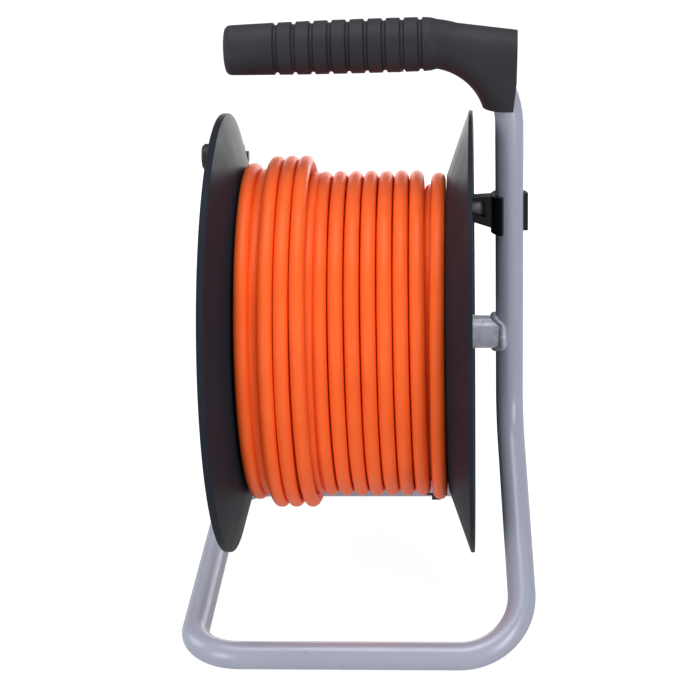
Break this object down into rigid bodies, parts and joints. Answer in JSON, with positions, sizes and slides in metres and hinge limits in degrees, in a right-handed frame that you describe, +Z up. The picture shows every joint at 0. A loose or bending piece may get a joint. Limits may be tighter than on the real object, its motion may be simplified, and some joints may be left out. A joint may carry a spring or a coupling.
{
  "type": "extension cord reel",
  "caption": "Portable extension cord reel: flanged drum of orange mains cord with lidded sockets, turning on a bent tube stand with a ribbed grip.",
  "frame": {"origin": "centre of the footprint at floor level, taken without the cord", "axes": "+Z up, +X along the drum's axle from the socket side towards the upright, +Y away from the slanted leg"},
  "size_m": [0.231, 0.29, 0.3923],
  "materials": {
    "frame_paint": "satin silver-grey powder paint",
    "grip_plastic": "fine matte grain",
    "black_cap": "matte",
    "zinc_steel": "zinc plated",
    "spring_steel": "plain spring steel",
    "drum_plastic": "slightly glossy moulded plastic",
    "white_nylon": "plain nylon",
    "panel_plastic": "satin moulded plastic",
    "lid_plastic": "satin moulded plastic",
    "button_red": "satin moulded plastic",
    "seal_rubber": "matte",
    "brass": "plain",
    "tinned_steel": "tinned",
    "cord_orange": "soft satin rubber sheath",
    "plug_rubber": "matte",
    "tie_nylon": "smooth nylon",
    "wire_brown": "smooth insulation",
    "wire_blue": "smooth insulation",
    "wire_green": "smooth insulation, green and yellow",
    "knob_plastic": "satin moulded plastic",
    "clip_plastic": "satin moulded plastic"
  },
  "bodies": {
    "frame": {"frame_tube": "frame_paint", "foot_end_plug": "black_cap", "grip": "grip_plastic", "grip_screw": "zinc_steel", "axle_tube": "frame_paint", "thrust_washers": "zinc_steel", "retaining_ring": "spring_steel"},
    "drum": {"rear_drum_half": "drum_plastic", "front_drum_half": "drum_plastic", "drum_screws": "zinc_steel", "rear_bush": "white_nylon", "front_bush": "white_nylon", "socket_panel": "panel_plastic", "panel_seal": "seal_rubber", "panel_screws": "zinc_steel", "socket_cup_1": "panel_plastic", "socket_cup_2": "panel_plastic", "socket_cup_3": "panel_plastic", "socket_cup_4": "panel_plastic", "lid_pins": "zinc_steel", "lid_spring_1": "spring_steel", "lid_spring_2": "spring_steel", "lid_spring_3": "spring_steel", "lid_spring_4": "spring_steel", "line_busbar": "brass", "neutral_busbar": "brass", "earth_busbar": "tinned_steel", "earth_clips": "tinned_steel", "thermal_cutout": "panel_plastic", "cutout_nut": "zinc_steel", "cord_gland": "seal_rubber", "inner_cord": "cord_orange", "cord_clamp": "white_nylon", "clamp_screws": "zinc_steel", "line_wire": "wire_brown", "neutral_wire": "wire_blue", "earth_wire": "wire_green", "load_wire": "wire_brown", "knob_axle": "zinc_steel", "knob_nut": "zinc_steel", "cord_winding": "cord_orange", "cord_tail": "cord_orange", "cord_tie": "tie_nylon", "plug_body": "plug_rubber", "plug_pins": "brass", "plug_earth_straps": "tinned_steel", "plug_strain_relief": "plug_rubber"},
    "lid_1": {"socket_lid_1": "lid_plastic"},
    "lid_2": {"socket_lid_2": "lid_plastic"},
    "lid_3": {"socket_lid_3": "lid_plastic"},
    "lid_4": {"socket_lid_4": "lid_plastic"},
    "reset_button": {"reset_button": "button_red"},
    "knob": {"winding_knob": "knob_plastic"},
    "brake": {"brake_clip": "clip_plastic"}
  },
  "joints": [
    {"name": "drum_spin", "type": "hinge", "parent": "frame", "child": "drum", "pos_m": [0, 0, 0.182], "axis": [1, 0, 0], "continuous": true},
    {"name": "lid_1_open", "type": "hinge", "parent": "drum", "child": "lid_1", "pos_m": [-0.0816, 0.0776, 0.182], "axis": [0, 0, -1], "range_deg": [0, 105], "stiffness_Nm_per_rad": 0.02, "springref_deg": -20.05},
    {"name": "lid_2_open", "type": "hinge", "parent": "drum", "child": "lid_2", "pos_m": [-0.0816, 0, 0.2596], "axis": [0, 1, 0], "range_deg": [0, 105], "stiffness_Nm_per_rad": 0.02, "springref_deg": -20.05},
    {"name": "lid_3_open", "type": "hinge", "parent": "drum", "child": "lid_3", "pos_m": [-0.0816, -0.0776, 0.182], "axis": [0, 0, 1], "range_deg": [0, 105], "stiffness_Nm_per_rad": 0.02, "springref_deg": -20.05},
    {"name": "lid_4_open", "type": "hinge", "parent": "drum", "child": "lid_4", "pos_m": [-0.0816, 0, 0.1044], "axis": [0, -1, 0], "range_deg": [0, 105], "stiffness_Nm_per_rad": 0.02, "springref_deg": -20.05},
    {"name": "button_press", "type": "slide", "parent": "drum", "child": "reset_button", "axis": [1, 0, 0], "range_m": [0, 0.002], "stiffness_N_per_m": 900, "springref_m": -0.0005},
    {"name": "knob_spin", "type": "hinge", "parent": "drum", "child": "knob", "pos_m": [-0.1, 0.0884, 0.2768], "axis": [1, 0, 0], "continuous": true},
    {"name": "brake_swing", "type": "hinge", "parent": "frame", "child": "brake", "pos_m": [0.0998, 0, 0.264], "axis": [0, 0, 1], "range_deg": [-90, 0]}
  ]
}
